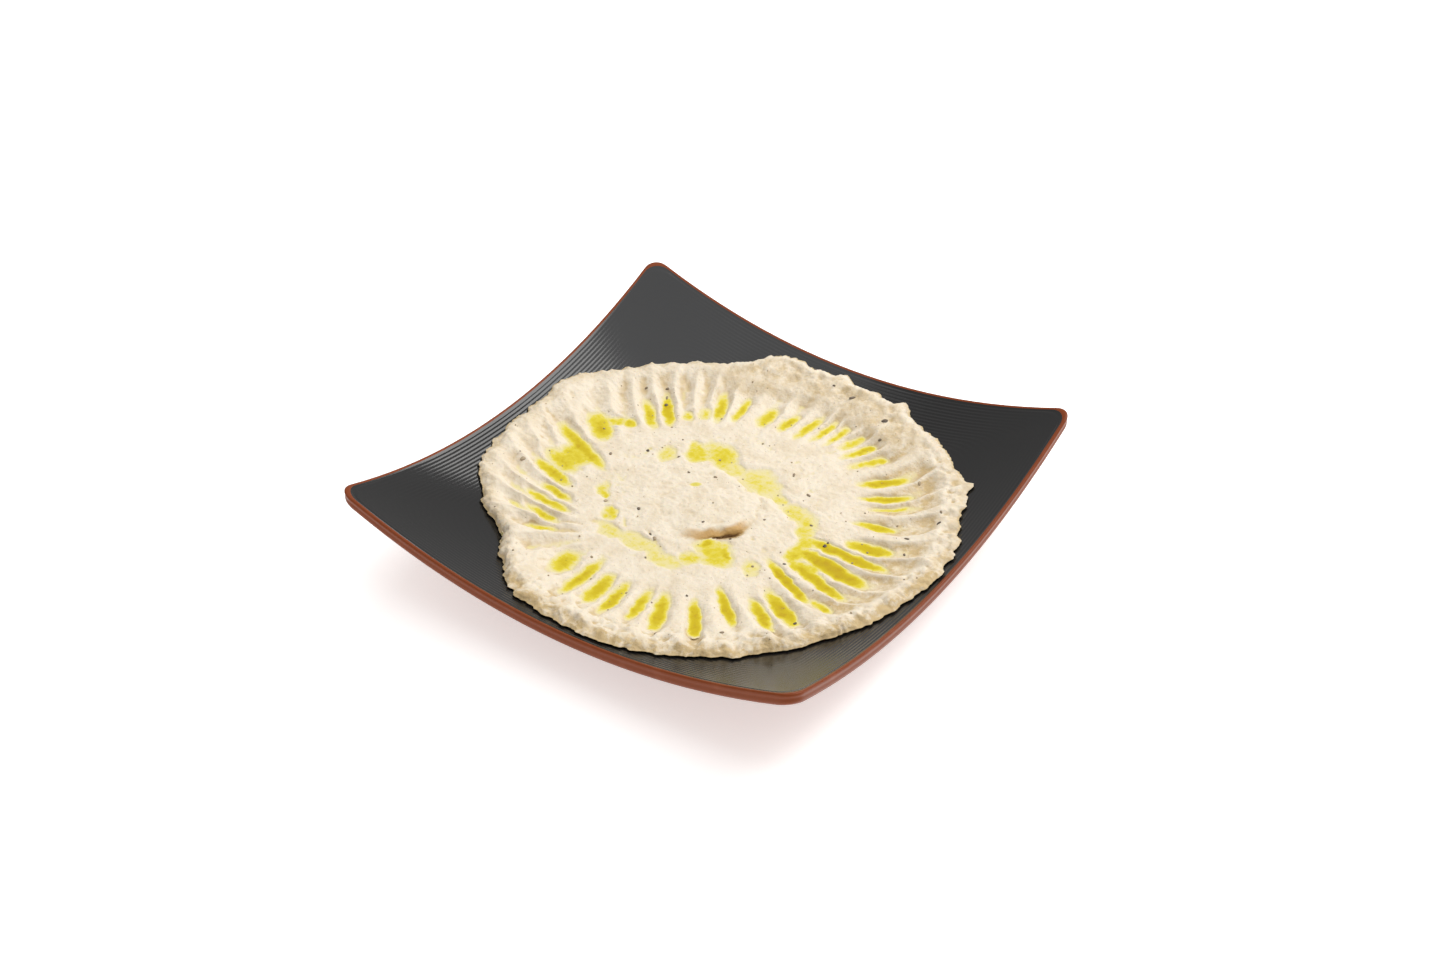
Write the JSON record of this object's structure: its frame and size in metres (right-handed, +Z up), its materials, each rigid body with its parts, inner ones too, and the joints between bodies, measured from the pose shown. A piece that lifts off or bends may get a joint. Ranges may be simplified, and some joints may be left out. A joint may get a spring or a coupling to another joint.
{
  "type": "plate of hummus",
  "caption": "Hummus spread in a square dished plate with lifted corners, drawn into a wheel of spoon furrows that hold olive oil.",
  "frame": {"origin": "centre of the plate's foot, on the surface that the plate stands on", "axes": "+Z up, and +X and +Y straight out to the middles of two neighbouring sides of the plate"},
  "size_m": [0.22, 0.22, 0.0474],
  "materials": {
    "black_lacquer": "satin black lacquer over fine moulded ridges",
    "red_brown_lacquer": "satin red-brown lacquer on the rim and the underside",
    "hummus": "moist, soft cream paste",
    "olive_oil": "clear golden-green oil",
    "dark_flecks": "small charred and skin flecks"
  },
  "bodies": {
    "root": {"plate": "black_lacquer", "hummus": "hummus"}
  },
  "joints": []
}
